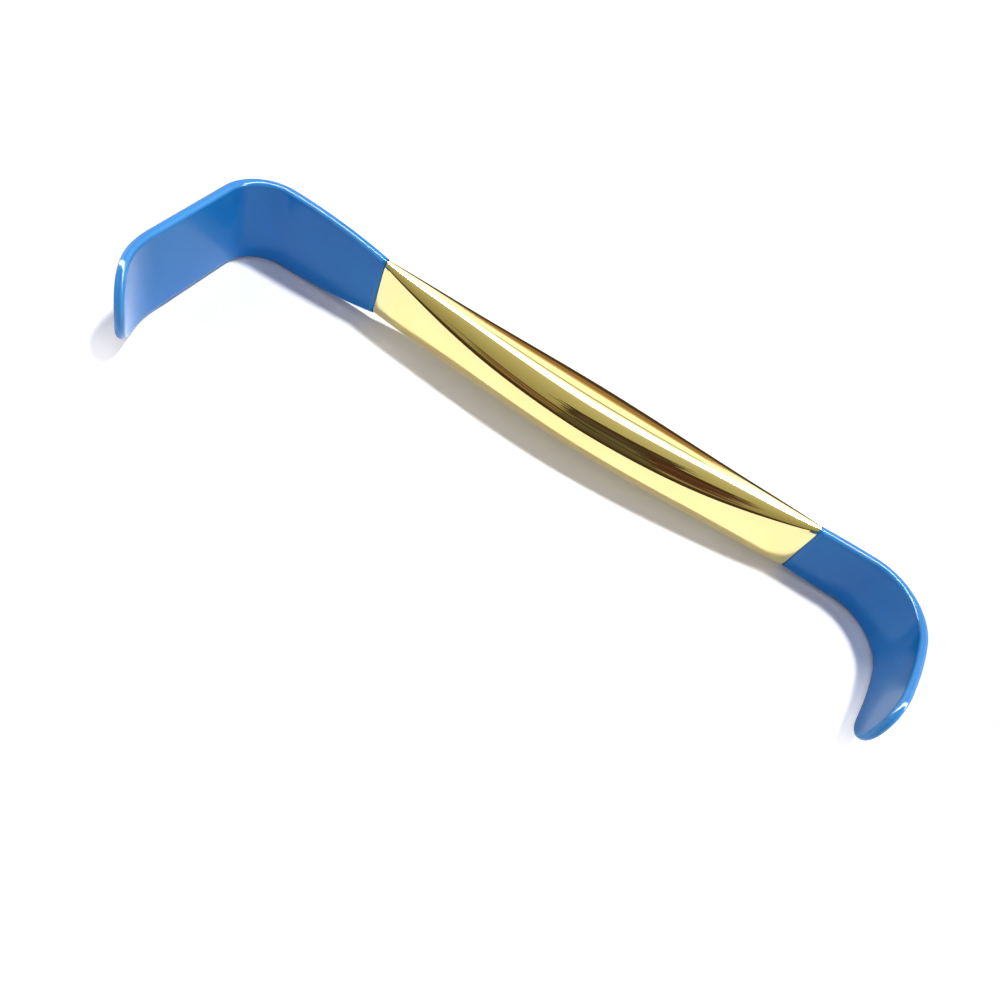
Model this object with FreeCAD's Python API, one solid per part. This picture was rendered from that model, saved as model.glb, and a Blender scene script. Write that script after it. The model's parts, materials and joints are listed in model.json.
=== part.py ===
import FreeCAD, Part
import math
import os

from FreeCAD import Placement, Rotation, Vector

# A double-ended handheld retractor, lying on its side as it comes to rest.
# Lengths are millimetres and angles are degrees. X runs along the handle from the
# deep blade to the hook blade, both blades point to -Y, and +Z is up.

# Steel strip that both blades are bent from
steel_thickness = 1.6
steel_edge_bevel = 0.45

# Insulating coating over each blade, from its tip up to the grip
coating_thickness = 0.4
coating_edge_radius = 1.15

# Grip, swelled out of the strip between the two coatings
grip_length = 130.5
grip_height = 18.55
grip_thickness = 17.7
grip_end_height = 18.25
grip_end_thickness = 2.7
grip_forward_offset = 1.2

# How fast the grip thins towards its ends, and how its oval flattens into a strip
grip_fullness = 1.8
grip_bluntness = 0.875
oval_sharpness = 0.7
oval_flattening = 6.0
blunt_edge_share = 0.95

# Deep blade: neck, bend, flat run, and a lip that curls back towards the handle
deep_neck_width = 17.8
deep_width = 24.4
deep_flare_length = 29.0
deep_neck_length = 29.5
deep_bend_radius = 12.0
deep_bend_angle = 86.3
deep_flat_length = 26.3
deep_lip_radius = 25.3
deep_lip_angle = 43.5

# Hook blade: short neck, wide bend, slow bend, and a straight tip
hook_neck_width = 17.5
hook_width = 18.5
hook_flare_length = 16.0
hook_neck_length = 16.1
hook_bend_radius = 16.5
hook_bend_angle = 89.4
hook_sweep_radius = 71.8
hook_sweep_angle = 10.1
hook_flat_length = 12.7

# How finely the grip is drawn, and how deep the strip is rooted in it
sections_per_half = 12
strip_root_depth = 1.0

# How far tools run past what they cut, and what counts as no length or as a corner
spare_length = 3.0
smallest_length = 1e-6
corner_cosine = 0.7

half_grip = grip_length / 2


class Blade:
    """A flat strip that is bent in plan, with a flare at its neck and a round end."""

    def __init__(self, side, runs, neck_width, width, flare_length):
        # side is -1 at the low end of X, and a run is (bend radius, angle) or (0, length)
        self.side = side
        self.runs = runs
        self.neck_width = neck_width
        self.width = width
        self.flare_length = flare_length
        self.length = sum(run_length(*run) for run in runs)


def run_length(radius, amount):
    return radius * math.radians(amount) if radius else amount


def outward(blade, heading):
    """Unit vector square to the blade, away from its hollow side."""
    return Vector(blade.side * math.sin(heading), math.cos(heading), 0)


def along(blade, heading):
    """Unit vector along the blade, away from the grip."""
    return Vector(blade.side * math.cos(heading), -math.sin(heading), 0)


def station(blade, distance):
    """Point and heading on the centre line, so far along it from the grip's end."""
    point = Vector(blade.side * half_grip, 0, 0)
    heading = 0.0
    for radius, amount in blade.runs:
        step = min(distance, run_length(radius, amount))
        distance -= step
        if radius:
            centre = point - outward(blade, heading) * radius
            heading += step / radius
            point = centre + outward(blade, heading) * radius
        else:
            point = point + along(blade, heading) * step
    return point + along(blade, heading) * distance, heading


def plan_edges(blade, offset, start, end):
    """Lines and arcs of the centre line moved outward by the offset."""
    stops = [start, 0]
    for run in blade.runs:
        stops.append(stops[-1] + run_length(*run))
    stops.append(end)
    edges = []
    for first, last in zip(stops, stops[1:]):
        if last - first < smallest_length:
            continue
        places = [station(blade, first + (last - first) * share) for share in (0, 0.5, 1)]
        points = [point + outward(blade, heading) * offset for point, heading in places]
        bent = places[-1][1] - places[0][1] > smallest_length
        curve = Part.Arc(*points) if bent else Part.LineSegment(points[0], points[2])
        edges.append(curve.toShape())
    return edges


def ribbon(blade, growth, start):
    """The bent strip at its full width, thicker by the growth and longer than its tip."""
    reach = steel_thickness / 2 + growth
    end = blade.length + growth + spare_length
    edges = plan_edges(blade, reach, start, end) + plan_edges(blade, -reach, start, end)
    for distance in (start, end):
        point, heading = station(blade, distance)
        side = outward(blade, heading) * reach
        edges.append(Part.makeLine(point - side, point + side))
    face = Part.Face(Part.Wire(Part.__sortEdges__(edges)))
    height = blade.width + 2 * growth
    face.translate(Vector(0, 0, -height / 2))
    return face.extrude(Vector(0, 0, height))


def flare_edge(blade, growth, sign):
    """Arc in the XZ plane that widens the neck and ends level with the full width."""
    rise = (blade.width - blade.neck_width) / 2
    radius = (blade.flare_length ** 2 + rise ** 2) / (2 * rise)
    full = blade.width / 2 + growth
    points = []
    for share in (0, 0.5, 1):
        back = blade.flare_length * (1 - share)
        height = full - radius + math.sqrt(radius ** 2 - back ** 2)
        x = blade.side * (half_grip + blade.flare_length - back)
        points.append(Vector(x, 0, sign * height))
    return points


def side_shape(blade, growth):
    """Everything inside the blade's side view, drawn along Y."""
    span = 2 * blade.length
    neck = blade.neck_width / 2 + growth
    full = blade.width / 2 + growth
    near = blade.side * (half_grip - 2 * strip_root_depth)
    far = blade.side * (half_grip + span)
    upper = flare_edge(blade, growth, 1)
    lower = flare_edge(blade, growth, -1)
    corners = [upper[2], Vector(far, 0, full), Vector(far, 0, -full), lower[2]]
    root = [lower[0], Vector(near, 0, -neck), Vector(near, 0, neck), upper[0]]
    edges = [Part.Arc(*upper).toShape(), Part.Arc(*lower).toShape()]
    edges += Part.makePolygon(corners).Edges + Part.makePolygon(root).Edges
    face = Part.Face(Part.Wire(Part.__sortEdges__(edges)))
    face.translate(Vector(0, -span, 0))
    return face.extrude(Vector(0, 2 * span, 0))


def tip_waste(blade, growth):
    """What is taken off the strip's square end to leave it half round."""
    radius = blade.width / 2 + growth
    end = blade.length + growth
    heading = station(blade, end - radius / 2)[1]
    tip = station(blade, end)[0]
    centre = tip - along(blade, heading) * radius
    reach = radius + steel_thickness
    block = Part.makeBox(radius + 2 * spare_length, 2 * reach, 2 * reach, Vector(0, -reach, -reach))
    turn = math.degrees(math.atan2(along(blade, heading).y, along(blade, heading).x))
    block.Placement = Placement(centre, Rotation(Vector(0, 0, 1), turn))
    side = outward(blade, heading)
    disc = Part.makeCylinder(radius, 2 * reach, centre - side * reach, side)
    return block.cut(disc)


def corner_edges(solid, blade, start):
    """Edges where two faces of the strip meet at a corner, apart from its root."""
    root = station(blade, start)[0].x
    chosen = []
    for edge in solid.Edges:
        middle = edge.valueAt((edge.FirstParameter + edge.LastParameter) / 2)
        if edge.BoundBox.XLength < smallest_length and abs(middle.x - root) < smallest_length:
            continue
        normals = []
        for face in solid.ancestorsOfType(edge, Part.Face):
            normals.append(face.normalAt(*face.Surface.parameter(middle)))
        if len(normals) == 2 and normals[0].dot(normals[1]) < corner_cosine:
            chosen.append(edge)
    return chosen


def square_strip(blade, growth=0.0, start=0.0):
    """The strip of one blade with square edges."""
    solid = ribbon(blade, growth, start).common(side_shape(blade, growth))
    return solid.cut(tip_waste(blade, growth)).removeSplitter().Solids[0]


def steel_strip(blade):
    """The bent steel under the coating, rooted in the grip and bevelled at its edges."""
    solid = square_strip(blade, start=-strip_root_depth)
    return solid.makeChamfer(steel_edge_bevel, corner_edges(solid, blade, -strip_root_depth))


def coated_strip(blade):
    """The outside of the coating, with round edges that the coating's flow has left."""
    solid = square_strip(blade, growth=coating_thickness)
    return solid.makeFillet(coating_edge_radius, corner_edges(solid, blade, 0.0))


def oval(x, middle, half_thickness, half_height, edge_radius):
    """Closed curve of four arcs: two flat ones over the flanks, two round ones at the edges."""
    rise = half_height - edge_radius
    slack = half_thickness - edge_radius
    flank_radius = (half_thickness ** 2 - edge_radius ** 2 + rise ** 2) / (2 * slack)
    turn = math.atan2(rise, flank_radius - half_thickness)
    joint_y = half_thickness - flank_radius * (1 - math.cos(turn))
    joint_z = flank_radius * math.sin(turn)

    def at(y, z):
        return Vector(x, middle + y, z)

    front = Part.Arc(at(joint_y, -joint_z), at(half_thickness, 0), at(joint_y, joint_z))
    top = Part.Arc(at(joint_y, joint_z), at(0, half_height), at(-joint_y, joint_z))
    back = Part.Arc(at(-joint_y, joint_z), at(-half_thickness, 0), at(-joint_y, -joint_z))
    foot = Part.Arc(at(-joint_y, -joint_z), at(0, -half_height), at(joint_y, -joint_z))
    return Part.Wire([arc.toShape() for arc in (front, top, back, foot)])


def grip_section(share):
    """The grip's outline at one station, from -1 at its low end to 1 at its high end."""
    swell = (1 - abs(share) ** grip_fullness) ** grip_bluntness
    thickness = grip_end_thickness + (grip_thickness - grip_end_thickness) * swell
    height = grip_height + (grip_end_height - grip_height) * share ** 2
    sharpness = oval_sharpness * (1 - abs(share) ** oval_flattening)
    edge_share = min((thickness / height) ** sharpness, blunt_edge_share)
    middle = -grip_forward_offset * (1 - share ** 2)
    return oval(half_grip * share, middle, thickness / 2, height / 2, edge_share * thickness / 2)


def grip():
    """The swelled grip, lofted through sections that crowd towards its two ends."""
    sections = []
    for index in range(-sections_per_half, sections_per_half + 1):
        sections.append(grip_section(math.sin(math.pi / 2 * index / sections_per_half)))
    return Part.makeLoft(sections, True, True)


def rest_tilt(deep, hook):
    """Angle about Y at which the wide blade and the narrow one both touch the table."""
    deep_foot = half_grip + deep.flare_length
    hook_foot = half_grip + hook.length - run_length(*hook.runs[-1])
    drop = (deep.width - hook.width) / 2
    return math.degrees(math.atan2(drop, deep_foot + station(hook, hook_foot - half_grip)[0].x))


def lay_down(shapes, tilt):
    """Tilt the whole object to its rest, and bring the middle of its foot to the origin."""
    for shape in shapes:
        shape.rotate(Vector(0, 0, 0), Vector(0, 1, 0), tilt)
    box = Part.makeCompound(shapes).optimalBoundingBox(False, False)
    for shape in shapes:
        shape.translate(Vector(-box.Center.x, -box.Center.y, -box.ZMin))


deep_blade = Blade(
    side=-1,
    runs=[
        (0, deep_neck_length),
        (deep_bend_radius, deep_bend_angle),
        (0, deep_flat_length),
        (deep_lip_radius, deep_lip_angle),
    ],
    neck_width=deep_neck_width,
    width=deep_width,
    flare_length=deep_flare_length,
)
hook_blade = Blade(
    side=1,
    runs=[
        (0, hook_neck_length),
        (hook_bend_radius, hook_bend_angle),
        (hook_sweep_radius, hook_sweep_angle),
        (0, hook_flat_length),
    ],
    neck_width=hook_neck_width,
    width=hook_width,
    flare_length=hook_flare_length,
)

blades = [deep_blade, hook_blade]
steel_bar = grip().fuse([steel_strip(blade) for blade in blades]).removeSplitter().Solids[0]
coatings = [coated_strip(blade).cut(steel_bar).Solids[0] for blade in blades]

nodes = {
    "steel_bar": steel_bar,
    "deep_blade_coating": coatings[0],
    "hook_blade_coating": coatings[1],
}
lay_down(list(nodes.values()), rest_tilt(deep_blade, hook_blade))

os.makedirs("parts", exist_ok=True)
for name, shape in nodes.items():
    shape.exportStep(f"parts/{name}.step")
    print(name, "valid", shape.isValid(), "volume", round(shape.Volume, 1), "faces", len(shape.Faces))
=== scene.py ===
import json
import math

import bpy
from mathutils import Matrix, Vector


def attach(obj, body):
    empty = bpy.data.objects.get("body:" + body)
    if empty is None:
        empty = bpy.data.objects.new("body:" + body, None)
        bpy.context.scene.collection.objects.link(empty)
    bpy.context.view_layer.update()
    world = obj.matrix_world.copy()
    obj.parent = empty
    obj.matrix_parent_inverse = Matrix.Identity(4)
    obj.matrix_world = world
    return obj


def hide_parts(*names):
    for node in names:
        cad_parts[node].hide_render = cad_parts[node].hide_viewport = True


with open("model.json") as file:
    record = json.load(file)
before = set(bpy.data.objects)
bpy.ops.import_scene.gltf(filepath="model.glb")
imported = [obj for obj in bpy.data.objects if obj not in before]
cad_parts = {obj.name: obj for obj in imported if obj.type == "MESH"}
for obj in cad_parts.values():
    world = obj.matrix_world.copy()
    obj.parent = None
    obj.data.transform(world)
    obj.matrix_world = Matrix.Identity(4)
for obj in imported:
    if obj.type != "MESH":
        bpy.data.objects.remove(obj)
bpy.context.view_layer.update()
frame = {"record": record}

# Double-ended hand retractor: one steel bar with a gold-plated oval grip, and a blue coat over
# each of its two bent blades. The pieces are modelled flat and level about the middle of the
# bent strip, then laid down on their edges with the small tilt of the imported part.
# All sizes are metres, and all angles are degrees.
gripMount = next(m for m in frame["record"]["mounts"] if m["name"] == "grip")
tiny = 0.00001


# Small helpers
def linear(hexColour):
    channels = [int(hexColour[i:i + 2], 16) / 255 for i in (1, 3, 5)]
    return [c / 12.92 if c <= 0.04045 else ((c + 0.055) / 1.055) ** 2.4 for c in channels] + [1.0]


def addNode(tree, kind, settings=None, inputs=None, links=None):
    # Inputs and links go by socket name or number. In a colour Mix node, 0 is the share,
    # 6 and 7 are the two colours, and output 2 is the mixed one
    node = tree.nodes.new(kind)
    for name, value in (settings or {}).items():
        setattr(node, name, value)
    for name, value in (inputs or {}).items():
        node.inputs[name].default_value = value
    for name, socket in (links or {}).items():
        tree.links.new(socket, node.inputs[name])
    return node


def startMaterial(name):
    material = bpy.data.materials.new(name)
    material.use_nodes = True
    tree = material.node_tree
    return material, tree, tree.nodes["Principled BSDF"]


def selectOnly(piece):
    bpy.ops.object.select_all(action="DESELECT")
    piece.select_set(True)
    bpy.context.view_layer.objects.active = piece


def editOnly(piece, kind, isWanted):
    # Goes into edit mode with the wanted vertices, edges or faces selected, and nothing else
    selectOnly(piece)
    bpy.ops.object.mode_set(mode="EDIT")
    bpy.ops.mesh.select_mode(type=kind)
    bpy.ops.mesh.select_all(action="DESELECT")
    bpy.ops.object.mode_set(mode="OBJECT")
    mesh = piece.data
    for element in {"VERT": mesh.vertices, "EDGE": mesh.edges, "FACE": mesh.polygons}[kind]:
        element.select = isWanted(element)
    bpy.ops.object.mode_set(mode="EDIT")


def applyModifiers(piece):
    selectOnly(piece)
    for modifier in list(piece.modifiers):
        bpy.ops.object.modifier_apply(modifier=modifier.name)


def applyPlace(piece):
    selectOnly(piece)
    bpy.ops.object.transform_apply(location=True, rotation=True, scale=True)


# Gold plate
goldFinish = {
    "pale": "#FBEFB0",
    "warm": "#F7E49C",
    "roughness": (0.015, 0.05),
    "lineSpan": (0.3, 0.75),  # part of the line noise that the roughness follows
    "polishLine": (0.040, 0.00035, 0.00035),  # length and width; real ones are finer than shows
    "polishHeight": 0.00000008,
    "waveLength": 0.011,
    "waveHeight": 0.0000045,
}


def goldPlate():
    # Gold-coloured plating on hand-polished steel: a clear mirror, pale yellow where it shows
    # white, with faint polishing lines along the grip and the slight waves of hand work
    material, tree, shader = startMaterial("polishedGoldPlate")
    shader.inputs["Metallic"].default_value = 1.0
    place = addNode(tree, "ShaderNodeTexCoord").outputs["Object"]
    stretched = addNode(tree, "ShaderNodeMapping",
                        inputs={"Scale": [1 / size for size in goldFinish["polishLine"]]},
                        links={"Vector": place})
    lines = addNode(tree, "ShaderNodeTexNoise", inputs={"Scale": 1.0, "Detail": 3.0},
                    links={"Vector": stretched.outputs[0]})
    waves = addNode(tree, "ShaderNodeTexNoise",
                    inputs={"Scale": 1 / goldFinish["waveLength"], "Detail": 1.0},
                    links={"Vector": place})
    colour = addNode(tree, "ShaderNodeMix", {"data_type": "RGBA"},
                     {6: linear(goldFinish["pale"]), 7: linear(goldFinish["warm"])},
                     {0: waves.outputs["Fac"]})
    start, end = goldFinish["lineSpan"]
    low, high = goldFinish["roughness"]
    rough = addNode(tree, "ShaderNodeMapRange",
                    inputs={"From Min": start, "From Max": end, "To Min": low, "To Max": high},
                    links={"Value": lines.outputs["Fac"]})
    waveBump = addNode(tree, "ShaderNodeBump", inputs={"Distance": goldFinish["waveHeight"]},
                       links={"Height": waves.outputs["Fac"]})
    lineBump = addNode(tree, "ShaderNodeBump", inputs={"Distance": goldFinish["polishHeight"]},
                       links={"Height": lines.outputs["Fac"], "Normal": waveBump.outputs[0]})
    tree.links.new(colour.outputs[2], shader.inputs["Base Color"])
    tree.links.new(rough.outputs[0], shader.inputs["Roughness"])
    tree.links.new(lineBump.outputs[0], shader.inputs["Normal"])
    return material


# Blue coat
blueFinish = {
    "deep": "#0C6CB7",
    "light": "#147BC7",
    "patch": 0.018,  # size of a lighter or deeper patch
    "patchSpan": (0.3, 0.7),  # part of the patch noise that the roughness follows
    # painted highlight: the pale blue laid on the coat's rounded edges
    "edge": "#70BCF4",
    "edgeHighlightSpan": (0.51, 0.56),  # Pointiness where the painted edge highlight starts, and where it is palest
    # painted shade: a dark navy line on the coat at its mouth, where it meets the gold, and its
    # width
    "mouthShade": "#0A2450",
    "mouthShadeWidth": 0.0003,
    "roughness": (0.13, 0.20),
    "ior": 1.36,
    "peelWidth": 0.0016,
    "peelHeight": 0.000009,
    "sheenWeight": 0.5,
    "sheenRoughness": 0.25,
    "sheenTint": "#C8E0FF",
}


def blueCoat():
    # Insulating polymer coat, dipped and baked: a glossy blue skin, a little uneven in depth of
    # colour, with a faint orange peel that breaks up the highlights. A painted highlight makes its
    # rounded edges paler, and painted shade makes it dark where its end meets the gold
    material, tree, shader = startMaterial("insulatingBlueCoat")
    shader.inputs["IOR"].default_value = blueFinish["ior"]
    shader.inputs["Sheen Weight"].default_value = blueFinish["sheenWeight"]
    shader.inputs["Sheen Roughness"].default_value = blueFinish["sheenRoughness"]
    shader.inputs["Sheen Tint"].default_value = linear(blueFinish["sheenTint"])
    place = addNode(tree, "ShaderNodeTexCoord").outputs["Object"]
    patches = addNode(tree, "ShaderNodeTexNoise",
                      inputs={"Scale": 1 / blueFinish["patch"], "Detail": 2.0},
                      links={"Vector": place})
    colour = addNode(tree, "ShaderNodeMix", {"data_type": "RGBA"},
                     {6: linear(blueFinish["deep"]), 7: linear(blueFinish["light"])},
                     {0: patches.outputs["Fac"]})

    # Distance from the middle of the grip, along it, which tells the coat's mouth, where painted
    # shade darkens the coat
    parts = addNode(tree, "ShaderNodeSeparateXYZ", links={"Vector": place})
    offset = addNode(tree, "ShaderNodeMath", {"operation": "SUBTRACT"},
                     {1: gripMount["pos_m"][0]}, {0: parts.outputs["X"]})
    reach = addNode(tree, "ShaderNodeMath", {"operation": "ABSOLUTE"}, links={0: offset.outputs[0]})
    half = grip["length"] / 2
    mouthShade = addNode(tree, "ShaderNodeMapRange",
                    inputs={"From Min": half, "From Max": half + blueFinish["mouthShadeWidth"]},
                    links={"Value": reach.outputs[0]})
    cut = blank["cutSpacing"]
    beyond = addNode(tree, "ShaderNodeMapRange",
                     inputs={"From Min": half + cut, "From Max": half + 2 * cut},
                     links={"Value": reach.outputs[0]})

    # Painted highlight: the rounded edges are pale, but not the corner at the mouth
    start, end = blueFinish["edgeHighlightSpan"]
    edge = addNode(tree, "ShaderNodeMapRange", inputs={"From Min": start, "From Max": end},
                   links={"Value": addNode(tree, "ShaderNodeNewGeometry").outputs["Pointiness"]})
    edgeHighlightShare = addNode(tree, "ShaderNodeMath", {"operation": "MULTIPLY"},
                   links={0: edge.outputs[0], 1: beyond.outputs[0]})
    paler = addNode(tree, "ShaderNodeMix", {"data_type": "RGBA"}, {7: linear(blueFinish["edge"])},
                    {0: edgeHighlightShare.outputs[0], 6: colour.outputs[2]})
    # Painted shade: dark navy over the first fraction of a millimetre of the coat at its mouth
    coatColour = addNode(tree, "ShaderNodeMix", {"data_type": "RGBA"},
                         {6: linear(blueFinish["mouthShade"])},
                         {0: mouthShade.outputs[0], 7: paler.outputs[2]})

    start, end = blueFinish["patchSpan"]
    low, high = blueFinish["roughness"]
    rough = addNode(tree, "ShaderNodeMapRange",
                    inputs={"From Min": start, "From Max": end, "To Min": low, "To Max": high},
                    links={"Value": patches.outputs["Fac"]})
    peel = addNode(tree, "ShaderNodeTexNoise",
                   inputs={"Scale": 1 / blueFinish["peelWidth"], "Detail": 1.0},
                   links={"Vector": place})
    bump = addNode(tree, "ShaderNodeBump", inputs={"Distance": blueFinish["peelHeight"]},
                   links={"Height": peel.outputs["Fac"]})
    tree.links.new(coatColour.outputs[2], shader.inputs["Base Color"])
    tree.links.new(rough.outputs[0], shader.inputs["Roughness"])
    tree.links.new(bump.outputs[0], shader.inputs["Normal"])
    return material


# Blades. A run is a radius and the angle that it bends by, or 0 and the length of a straight
steel = {"thickness": 0.0016, "edgeRadius": 0.00075}
coating = {"thickness": 0.0004}
deepBlade = {
    "side": -1,
    "runs": [(0, 0.0295), (0.0120, 86.3), (0, 0.0263), (0.0253, 43.5)],
    "neckWidth": 0.0178,
    "width": 0.0244,
    "flareLength": 0.0290,
}
hookBlade = {
    "side": 1,
    "runs": [(0, 0.0161), (0.0165, 89.4), (0.0718, 10.1), (0, 0.0127)],
    "neckWidth": 0.0175,
    "width": 0.0185,
    "flareLength": 0.0160,
}
blank = {
    "tipPoints": 96,  # round a whole circle of the tip
    "flareStep": 0.0020,
    "ring": 0.0004,  # of flat face beside the rounded edge
    "bevelSegments": 6,
    "cornerCosine": 0.7,  # faces that meet more sharply get a rounded edge
    "cutSpacing": 0.00075,
    "arcAngle": 30,  # the most that one piece of the path bends
    "pathResolution": 48,
    "overlap": 0.001,  # of the bar's blades into the grip
    "smoothAngle": 40,
}


def runLength(run):
    radius, amount = run
    return radius * math.radians(amount) if radius else amount


def bladeLength(blade):
    return sum(runLength(run) for run in blade["runs"])


def bladePath(blade):
    # The middle of the bent strip, from the end of the grip to the tip, as a Bezier curve whose
    # handles make each arc very nearly round
    anchors = [Vector((grip["length"] / 2, 0, 0))]
    headings = [0.0]
    reaches = []
    for radius, amount in blade["runs"]:
        parts = math.ceil(amount / blank["arcAngle"]) if radius else 1
        for _ in range(parts):
            heading = headings[-1]
            if radius:
                turn = math.radians(amount / parts)
                inward = Vector((math.sin(heading), math.cos(heading), 0)) * -radius
                after = Vector((math.sin(heading + turn), math.cos(heading + turn), 0)) * -radius
                anchors.append(anchors[-1] + inward - after)
                headings.append(heading + turn)
                reaches.append(4 / 3 * math.tan(turn / 4) * radius)
            else:
                along = Vector((math.cos(heading), -math.sin(heading), 0))
                anchors.append(anchors[-1] + along * amount)
                headings.append(heading)
                reaches.append(amount / 3)
    data = bpy.data.curves.new("bladePath", "CURVE")
    data.dimensions = "2D"
    data.resolution_u = blank["pathResolution"]
    spline = data.splines.new("BEZIER")
    spline.bezier_points.add(len(anchors) - 1)
    for index, point in enumerate(spline.bezier_points):
        along = Vector((math.cos(headings[index]), -math.sin(headings[index]), 0))
        point.co = anchors[index]
        point.handle_left = anchors[index] - along * reaches[max(index - 1, 0)]
        point.handle_right = anchors[index] + along * reaches[min(index, len(reaches) - 1)]
    path = bpy.data.objects.new("bladePath", data)
    bpy.context.scene.collection.objects.link(path)
    return path


def flatBlade(name, blade, growth, root):
    # The blade before it is bent: half a disc, drawn back to the neck, filled and thickened.
    # It stands out from the steel by the growth, and starts at the root
    radius = blade["width"] / 2 + growth
    centre = bladeLength(blade) + growth - radius
    rise = (blade["width"] - blade["neckWidth"]) / 2
    flareRadius = (blade["flareLength"] ** 2 + rise ** 2) / (2 * rise)
    bpy.ops.object.select_all(action="DESELECT")
    bpy.ops.mesh.primitive_circle_add(vertices=blank["tipPoints"], radius=radius,
                                      location=(centre, 0, 0), rotation=(math.pi / 2, 0, 0))
    piece = bpy.context.object
    piece.name = name
    applyPlace(piece)
    editOnly(piece, "VERT", lambda v: v.co.x < centre - tiny)
    bpy.ops.mesh.delete(type="VERT")
    bpy.ops.object.mode_set(mode="OBJECT")
    editOnly(piece, "VERT", lambda v: v.co.x < centre + tiny)
    bpy.ops.mesh.extrude_region_move(
        TRANSFORM_OT_translate={"value": (blade["flareLength"] - centre, 0, 0)})
    halfWidth = radius
    steps = int(blade["flareLength"] / blank["flareStep"])
    for step in range(1, steps + 1):
        back = blade["flareLength"] * step / steps
        newHalf = radius - flareRadius + math.sqrt(flareRadius ** 2 - back ** 2)
        bpy.ops.mesh.extrude_region_move(
            TRANSFORM_OT_translate={"value": (-blade["flareLength"] / steps, 0, 0)})
        bpy.ops.transform.resize(value=(1, 1, newHalf / halfWidth), center_override=(0, 0, 0))
        halfWidth = newHalf
    if root < 0:
        bpy.ops.mesh.extrude_region_move(TRANSFORM_OT_translate={"value": (root, 0, 0)})
    bpy.ops.mesh.edge_face_add()
    bpy.ops.mesh.select_all(action="SELECT")
    bpy.ops.mesh.edge_face_add()
    halfThickness = steel["thickness"] / 2 + growth
    bpy.ops.mesh.inset(thickness=steel["edgeRadius"] + growth + blank["ring"], depth=0)
    bpy.ops.mesh.select_all(action="SELECT")
    bpy.ops.mesh.extrude_region_move(TRANSFORM_OT_translate={"value": (0, 2 * halfThickness, 0)})
    bpy.ops.mesh.select_all(action="SELECT")
    bpy.ops.transform.translate(value=(0, -halfThickness, 0))
    bpy.ops.mesh.normals_make_consistent(inside=False)
    bpy.ops.object.mode_set(mode="OBJECT")
    return piece


def roundEdges(piece, radius, root):
    # Corners between the flat faces and the rim; the rim's own facets meet at a few degrees only
    faceNormals = {}
    for polygon in piece.data.polygons:
        for key in polygon.edge_keys:
            faceNormals.setdefault(key, []).append(polygon.normal.copy())
    places = [vertex.co.x for vertex in piece.data.vertices]

    def isCorner(edge):
        normals = faceNormals[edge.key]
        atRoot = all(abs(places[i] - root) < tiny for i in edge.vertices)
        isSharp = len(normals) == 2 and normals[0].dot(normals[1]) < blank["cornerCosine"]
        return isSharp and not atRoot

    editOnly(piece, "EDGE", isCorner)
    bpy.ops.mesh.bevel(offset=radius, segments=blank["bevelSegments"], profile=0.5, affect="EDGES")
    bpy.ops.object.mode_set(mode="OBJECT")


def cutAcross(piece, places):
    # Cuts square to X, so that a long face can bend
    selectOnly(piece)
    bpy.ops.object.mode_set(mode="EDIT")
    for place in places:
        bpy.ops.mesh.select_all(action="SELECT")
        bpy.ops.mesh.bisect(plane_co=(place, 0, 0), plane_no=(1, 0, 0))
    bpy.ops.object.mode_set(mode="OBJECT")


def bentBlade(name, blade, growth, root):
    piece = flatBlade(name, blade, growth, root)
    roundEdges(piece, steel["edgeRadius"] + growth, root)
    span = bladeLength(blade) + growth - root
    count = math.ceil(span / blank["cutSpacing"])
    cutAcross(piece, [root + span * index / count for index in range(1, count)])
    if root == 0:
        # A coating is open at the grip
        editOnly(piece, "FACE", lambda f: abs(f.center.x) < tiny)
        bpy.ops.mesh.delete(type="FACE")
        bpy.ops.object.mode_set(mode="OBJECT")
    path = bladePath(blade)
    bend = piece.modifiers.new("bend", "CURVE")
    bend.object = path
    bend.deform_axis = "POS_X"
    applyModifiers(piece)
    bpy.data.objects.remove(path)
    if blade["side"] < 0:
        piece.scale.x = -1
        applyPlace(piece)
        bpy.ops.object.mode_set(mode="EDIT")
        bpy.ops.mesh.select_all(action="SELECT")
        bpy.ops.mesh.normals_make_consistent(inside=False)
        bpy.ops.object.mode_set(mode="OBJECT")
    return piece


def layDown(piece):
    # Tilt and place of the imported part, as its grip mount gives them
    tilt = math.asin(-gripMount["axis"][2])
    place = Vector(gripMount["pos_m"]) + Vector((0, grip["forward"], 0))
    piece.matrix_world = Matrix.Translation(place) @ Matrix.Rotation(tilt, 4, "Y")
    applyPlace(piece)


def finishPiece(piece, material, node):
    layDown(piece)
    bpy.ops.object.shade_smooth_by_angle(angle=math.radians(blank["smoothAngle"]))
    piece.data.materials.clear()
    piece.data.materials.append(material)
    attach(piece, "root")
    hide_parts(node)
    print(node, len(piece.data.polygons), "faces")


def makeCoating(name, blade, material):
    piece = bentBlade(name, blade, coating["thickness"], 0)
    wall = piece.modifiers.new("wall", "SOLIDIFY")
    wall.thickness = coating["thickness"]
    wall.offset = -1
    wall.use_even_offset = True
    applyModifiers(piece)
    finishPiece(piece, material, name)


# Grip, the bar's middle. Its sections are ovals that turn into the flat strip towards both ends
grip = {
    "length": 0.1305,
    "height": 0.01855,
    "thickness": 0.0177,
    "endHeight": 0.01825,
    "endThickness": 0.0027,
    "forward": 0.0012,  # of the oval's middle, towards the blades' tips
    "fullness": {-1: 1.65, 1: 1.88},  # the deep blade's end thins a little faster
    "bluntness": 0.875,
    "roundness": 1.9,
    "endFlatness": 7.6,
    "flatnessGrowth": 6.3,
    "around": 160,
    "stations": 150,
}


def signedPower(value, power):
    return math.copysign(abs(value) ** power, value)


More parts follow.
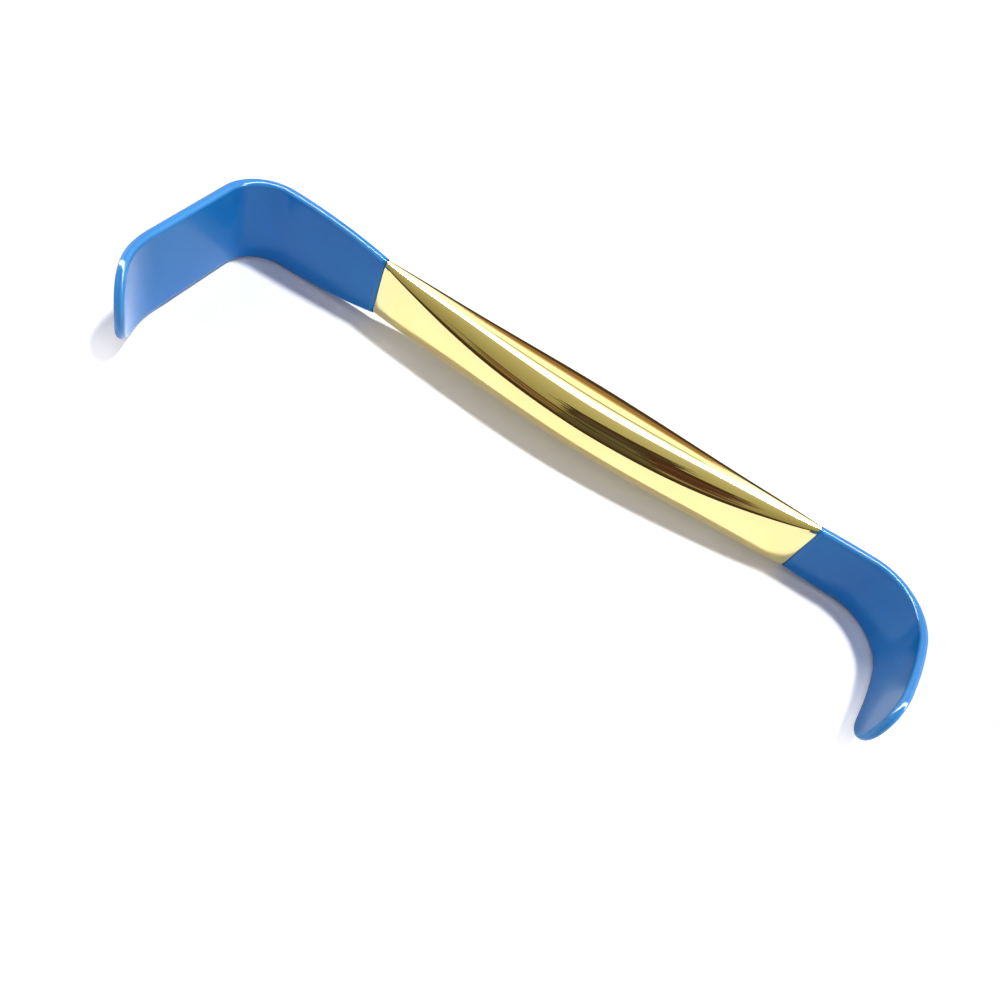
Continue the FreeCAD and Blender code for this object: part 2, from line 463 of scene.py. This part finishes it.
def gripBody():
    half = grip["length"] / 2
    bpy.ops.object.select_all(action="DESELECT")
    bpy.ops.mesh.primitive_cylinder_add(vertices=grip["around"], radius=1, depth=grip["length"],
                                        end_fill_type="NGON", rotation=(0, math.pi / 2, 0))
    piece = bpy.context.object
    piece.name = "steel_bar"
    applyPlace(piece)
    stations = grip["stations"]
    cutAcross(piece, [-half * math.cos(math.pi * i / stations) for i in range(1, stations)])
    for vertex in piece.data.vertices:
        side = 1 if vertex.co.x > 0 else -1
        share = min(abs(vertex.co.x) / half, 1)
        turn = math.atan2(vertex.co.z, vertex.co.y)
        swell = (1 - share ** grip["fullness"][side]) ** grip["bluntness"]
        thickness = grip["endThickness"] + (grip["thickness"] - grip["endThickness"]) * swell
        height = grip["height"] + (grip["endHeight"] - grip["height"]) * share ** 2
        growth = share ** grip["flatnessGrowth"]
        flatness = grip["roundness"] + (grip["endFlatness"] - grip["roundness"]) * growth
        middle = -grip["forward"] * (1 - share ** 2)
        vertex.co.y = middle + thickness / 2 * signedPower(math.cos(turn), 2 / grip["roundness"])
        vertex.co.z = height / 2 * signedPower(math.sin(turn), 2 / flatness)
    return piece


def makeBar(material):
    bar = gripBody()
    for blade in (deepBlade, hookBlade):
        end = bentBlade("barEnd", blade, 0, -blank["overlap"])
        union = bar.modifiers.new("union", "BOOLEAN")
        union.operation = "UNION"
        union.solver = "MANIFOLD"
        union.object = end
        applyModifiers(bar)
        bpy.data.objects.remove(end)
    finishPiece(bar, material, "steel_bar")


# Paper
paper = {
    "front": -0.085,
    "back": 0.045,  # just behind the grip, which mirrors dark there
    "width": 2.0,
    "colour": "#DADADA",
    "roughness": 0.9,
    "shine": {"blades": 0.03, "grip": 0.11, "front": 0.86},
    "gripReach": (0.048, 0.074),  # from the middle, where the grip's shine starts to end and ends
    "fade": (0.002, -0.032),  # where the front's shine starts and is full
    "lean": -0.10,  # brings the front's shine further back beside the hook blade
    "mirrored": 0.15,
}


def whitePaper():
    # Smooth white paper. The photograph's shadow is lighter under the grip than beside the blades
    # and fades out towards their tips, so the paper shines a little there for the camera, and
    # evenly in the mirror of the grip
    material, tree, shader = startMaterial("whitePaper")
    shader.inputs["Base Color"].default_value = linear(paper["colour"])
    shader.inputs["Roughness"].default_value = paper["roughness"]
    shader.inputs["Specular IOR Level"].default_value = 0.0
    shader.inputs["Emission Color"].default_value = (1, 1, 1, 1)
    place = addNode(tree, "ShaderNodeTexCoord").outputs["Object"]
    parts = addNode(tree, "ShaderNodeSeparateXYZ", links={"Vector": place})
    leaned = addNode(tree, "ShaderNodeMath", {"operation": "MULTIPLY_ADD"}, {1: paper["lean"]},
                     {0: parts.outputs["X"], 2: parts.outputs["Y"]})
    start, end = paper["fade"]
    front = addNode(tree, "ShaderNodeMapRange",
                    inputs={"From Min": start, "From Max": end, "To Max": paper["shine"]["front"]},
                    links={"Value": leaned.outputs[0]})
    aside = addNode(tree, "ShaderNodeMath", {"operation": "ABSOLUTE"},
                    links={0: parts.outputs["X"]})
    near, far = paper["gripReach"]
    under = addNode(tree, "ShaderNodeMapRange",
                    inputs={"From Min": far, "From Max": near, "To Min": paper["shine"]["blades"],
                            "To Max": paper["shine"]["grip"]},
                    links={"Value": aside.outputs[0]})
    stronger = addNode(tree, "ShaderNodeMath", {"operation": "MAXIMUM"},
                       links={0: front.outputs[0], 1: under.outputs[0]})
    ray = addNode(tree, "ShaderNodeLightPath")
    shown = addNode(tree, "ShaderNodeMath", {"operation": "MULTIPLY"},
                    links={0: stronger.outputs[0], 1: ray.outputs["Is Camera Ray"]})
    shine = addNode(tree, "ShaderNodeMath", {"operation": "MULTIPLY_ADD"}, {1: paper["mirrored"]},
                    {0: ray.outputs["Is Glossy Ray"], 2: shown.outputs[0]})
    tree.links.new(shine.outputs[0], shader.inputs["Emission Strength"])
    return material


def layPaper():
    bpy.ops.object.select_all(action="DESELECT")
    bpy.ops.mesh.primitive_plane_add(size=1, location=(0, 0, 0))
    floor = bpy.context.object
    floor.name = "paperFloor"
    floor.scale = (paper["width"], paper["back"] - paper["front"], 1)
    floor.location = (0, (paper["back"] + paper["front"]) / 2, 0)
    applyPlace(floor)
    floor.data.materials.append(whitePaper())
    print("paper laid")


# Lamp high at the back and a little to the right, which throws the shadow to the near side
lamp = {"towards": (0.22, 0.25, 1.0), "strength": 3.65, "angle": 6}


def hangLamp():
    light = bpy.data.objects.new("keyLight", bpy.data.lights.new("keyLight", "SUN"))
    light.data.energy = lamp["strength"]
    light.data.angle = math.radians(lamp["angle"])
    light.rotation_euler = Vector(lamp["towards"]).to_track_quat("Z", "Y").to_euler()
    light.visible_glossy = False
    bpy.context.scene.collection.objects.link(light)
    print("lamp hung")


# Light tent. What the polished grip mirrors is light bands round the X axis, from the front
# horizon at 0 over the top to the back, and cards in front of them. "across" is the sideways
# part of a direction, "up" its angle round the axis, and a card's slope turns it
tent = {
    "backdrop": 1.2,
    "fill": (0.51, 0.47, 0.50),
    "fillFrom": (-0.2, -0.95, 0.2),
    "fillSpan": (-0.55, 0.25),
    "fillStrength": (0.05, 0.82),
    "sideSpan": (0.5, 0.95),
    "sideStrength": 0.9,
    "bands": [
        (-180, (0.07, 0.045, 0.02)),
        (-136, (0.07, 0.045, 0.02)),
        (-126, (1.1, 1.1, 1.1)),
        (-10, (1.1, 1.1, 1.1)),
        (-8, (0.05, 0.03, 0.02)),
        (1, (0.06, 0.035, 0.02)),
        (4, (0.31, 0.27, 0.15)),
        (30, (0.38, 0.35, 0.20)),
        (60, (0.49, 0.46, 0.29)),
        (84, (0.62, 0.59, 0.42)),
        (86, (1.3, 1.3, 1.3)),
        (160, (1.25, 1.25, 1.2)),
        (168, (0.16, 0.11, 0.06)),
        (180, (0.07, 0.045, 0.02)),
    ],
    "streak": (0.5, 2.2),  # length along the grip and width in degrees
    "streakSpan": (0.42, 0.58),  # part of the streaks between a card's two colours
    "ragged": 0.22,  # how far the streaks fray the ends of a card
    "cards": [
        {"across": (-1.0, 1.0), "up": (75, 94), "slope": 12,
         "colours": [(2.4, 2.4, 2.4), (2.8, 2.8, 2.8)]},
        {"across": (-1.0, 1.0), "up": (79, 91), "slope": 12,
         "colours": [(60.0, 60.0, 60.0), (60.0, 60.0, 60.0)]},
        {"across": (0.20, 1.0), "up": (92, 150), "slope": 12,
         "colours": [(2.2, 2.2, 2.2), (2.6, 2.6, 2.6)]},
        {"across": (-1.0, -0.20), "up": (92, 150), "slope": 12,
         "colours": [(2.0, 2.0, 2.0), (2.4, 2.4, 2.4)]},
        {"across": (-0.16, 0.19), "up": (100, 106), "slope": 12,
         "colours": [(0.62, 0.60, 0.50), (0.42, 0.40, 0.30)]},
        {"across": (-0.17, 0.20), "up": (136, 150), "slope": 0,
         "colours": [(0.80, 0.58, 0.30), (0.48, 0.34, 0.16)]},
        {"across": (-0.17, 0.17), "up": (148, 172), "slope": 0,
         "colours": [(0.46, 0.25, 0.13), (0.24, 0.14, 0.07)]},
        {"across": (-0.30, -0.08), "up": (4, 20), "slope": 10,
         "colours": [(0.30, 0.20, 0.10), (0.06, 0.035, 0.02)]},
        {"across": (-0.10, 0.24), "up": (2, 18), "slope": 0,
         "colours": [(0.13, 0.12, 0.07), (0.06, 0.045, 0.03)]},
        {"across": (-0.07, 0.25), "up": (14, 43), "slope": 30,
         "colours": [(0.035, 0.022, 0.015), (0.08, 0.055, 0.035)]},
        {"across": (-0.05, 0.20), "up": (28, 37), "slope": 30,
         "colours": [(0.13, 0.08, 0.06), (0.05, 0.03, 0.02)]},
        {"across": (-0.04, 0.18), "up": (17, 26), "slope": 10,
         "colours": [(0.06, 0.055, 0.035), (0.15, 0.13, 0.08)]},
        {"across": (0.20, 0.36), "up": (12, 42), "slope": -20,
         "colours": [(0.13, 0.06, 0.04), (0.06, 0.03, 0.02)]},
    ],
}


def mirroredRoom(tree, parts):
    # What mirror rays meet: the bands, and each card laid over what is there already
    across = parts.outputs["X"]
    front = addNode(tree, "ShaderNodeMath", {"operation": "MULTIPLY"}, {1: -1.0},
                    {0: parts.outputs["Y"]})
    turn = addNode(tree, "ShaderNodeMath", {"operation": "ARCTAN2"},
                   links={0: parts.outputs["Z"], 1: front.outputs[0]})
    up = addNode(tree, "ShaderNodeMath", {"operation": "DEGREES"},
                 links={0: turn.outputs[0]}).outputs[0]
    share = addNode(tree, "ShaderNodeMath", {"operation": "MULTIPLY_ADD"}, {1: 1 / 360, 2: 0.5},
                    {0: up})
    ramp = addNode(tree, "ShaderNodeValToRGB", links={"Fac": share.outputs[0]})
    stops = ramp.color_ramp.elements
    stops.remove(stops[-1])
    first, *others = [(degrees / 360 + 0.5, (*colour, 1)) for degrees, colour in tent["bands"]]
    stops[0].position, stops[0].color = first
    for position, colour in others:
        stops.new(position).color = colour
    seen = ramp.outputs["Color"]

    # Streaks along the grip
    plan = addNode(tree, "ShaderNodeCombineXYZ", links={"X": across, "Y": up})
    length, width = tent["streak"]
    stretched = addNode(tree, "ShaderNodeMapping", inputs={"Scale": (1 / length, 1 / width, 1)},
                        links={"Vector": plan.outputs[0]})
    streaks = addNode(tree, "ShaderNodeTexNoise", inputs={"Scale": 1.0, "Detail": 2.0},
                      links={"Vector": stretched.outputs[0]}).outputs["Fac"]
    start, end = tent["streakSpan"]
    contrast = addNode(tree, "ShaderNodeMapRange", inputs={"From Min": start, "From Max": end},
                       links={"Value": streaks})
    frayed = addNode(tree, "ShaderNodeMath", {"operation": "MULTIPLY_ADD"}, {1: tent["ragged"]},
                     {0: streaks, 2: across})
    for card in tent["cards"]:
        left, right = [edge + tent["ragged"] / 2 for edge in card["across"]]
        low, high = card["up"]
        leaned = addNode(tree, "ShaderNodeMath", {"operation": "MULTIPLY_ADD"},
                         {1: -card["slope"]}, {0: across, 2: up})
        inside = addNode(tree, "ShaderNodeMath", {"operation": "COMPARE"},
                         {1: (left + right) / 2, 2: (right - left) / 2}, {0: frayed.outputs[0]})
        between = addNode(tree, "ShaderNodeMath", {"operation": "COMPARE"},
                          {1: (low + high) / 2, 2: (high - low) / 2}, {0: leaned.outputs[0]})
        mask = addNode(tree, "ShaderNodeMath", {"operation": "MULTIPLY"},
                       links={0: inside.outputs[0], 1: between.outputs[0]})
        one, other = [(*colour, 1) for colour in card["colours"]]
        shade = addNode(tree, "ShaderNodeMix", {"data_type": "RGBA"}, {6: one, 7: other},
                        {0: contrast.outputs[0]})
        layer = addNode(tree, "ShaderNodeMix", {"data_type": "RGBA"},
                        links={0: mask.outputs[0], 6: seen, 7: shade.outputs[2]})
        seen = layer.outputs[2]
    return addNode(tree, "ShaderNodeBackground", links={"Color": seen}).outputs[0]


def softFill(tree, direction, parts):
    # Soft light on the object and the paper: from the front, where the object hardly hides it
    # from its own shadow, and from both sides
    facing = addNode(tree, "ShaderNodeVectorMath", {"operation": "DOT_PRODUCT"},
                     {1: Vector(tent["fillFrom"]).normalized()}, {0: direction})
    start, end = tent["fillSpan"]
    low, high = tent["fillStrength"]
    ahead = addNode(tree, "ShaderNodeMapRange", {"interpolation_type": "SMOOTHSTEP"},
                    {"From Min": start, "From Max": end, "To Min": low, "To Max": high},
                    {"Value": facing.outputs["Value"]})
    sideways = addNode(tree, "ShaderNodeMath", {"operation": "ABSOLUTE"},
                       links={0: parts.outputs["X"]})
    start, end = tent["sideSpan"]
    sides = addNode(tree, "ShaderNodeMapRange",
                    inputs={"From Min": start, "From Max": end, "To Max": tent["sideStrength"]},
                    links={"Value": sideways.outputs[0]})
    total = addNode(tree, "ShaderNodeMath", {"operation": "ADD"},
                    links={0: ahead.outputs[0], 1: sides.outputs[0]})
    return addNode(tree, "ShaderNodeBackground", inputs={"Color": (*tent["fill"], 1)},
                   links={"Strength": total.outputs[0]}).outputs[0]


def makeTent():
    world = bpy.data.worlds.new("lightTent")
    bpy.context.scene.world = world
    world.use_nodes = True
    tree = world.node_tree
    tree.nodes.clear()
    direction = addNode(tree, "ShaderNodeTexCoord").outputs["Generated"]
    parts = addNode(tree, "ShaderNodeSeparateXYZ", links={"Vector": direction})
    backdrop = addNode(tree, "ShaderNodeBackground",
                       inputs={"Color": (1, 1, 1, 1), "Strength": tent["backdrop"]})
    ray = addNode(tree, "ShaderNodeLightPath")
    lit = addNode(tree, "ShaderNodeMixShader",
                  links={0: ray.outputs["Is Glossy Ray"], 1: softFill(tree, direction, parts),
                         2: mirroredRoom(tree, parts)})
    shown = addNode(tree, "ShaderNodeMixShader",
                    links={0: ray.outputs["Is Camera Ray"], 1: lit.outputs[0],
                           2: backdrop.outputs[0]})
    addNode(tree, "ShaderNodeOutputWorld", links={"Surface": shown.outputs[0]})
    print("light tent with", len(tent["cards"]), "cards")


# Photograph's view: above the near side, close, and rolled so that the grip runs down to the right
view = {
    "aim": (-0.0028, -0.00735, 0.00008),
    "distance": 0.2209,
    "azimuth": 3.67,
    "elevation": 51.08,
    "roll": 28.46,
    "lens": 31.48,
    "sensor": 36,
    "nearClip": 0.01,
}


def placeCamera():
    data = bpy.data.cameras.new("camera")
    data.lens = view["lens"]
    data.sensor_width = view["sensor"]
    data.clip_start = view["nearClip"]
    camera = bpy.data.objects.new("camera", data)
    bpy.context.scene.collection.objects.link(camera)
    turn = (Matrix.Rotation(math.radians(view["azimuth"]), 4, "Z")
            @ Matrix.Rotation(math.radians(90 - view["elevation"]), 4, "X")
            @ Matrix.Rotation(math.radians(view["roll"]), 4, "Z"))
    back = turn @ Vector((0, 0, view["distance"]))
    camera.matrix_world = Matrix.Translation(Vector(view["aim"]) + back) @ turn
    bpy.context.scene.camera = camera
    bpy.context.scene.view_settings.view_transform = "Standard"
    print("camera placed")


gold = goldPlate()
blue = blueCoat()
print("materials made")
makeBar(gold)
makeCoating("deep_blade_coating", deepBlade, blue)
makeCoating("hook_blade_coating", hookBlade, blue)
layPaper()
hangLamp()
makeTent()
placeCamera()
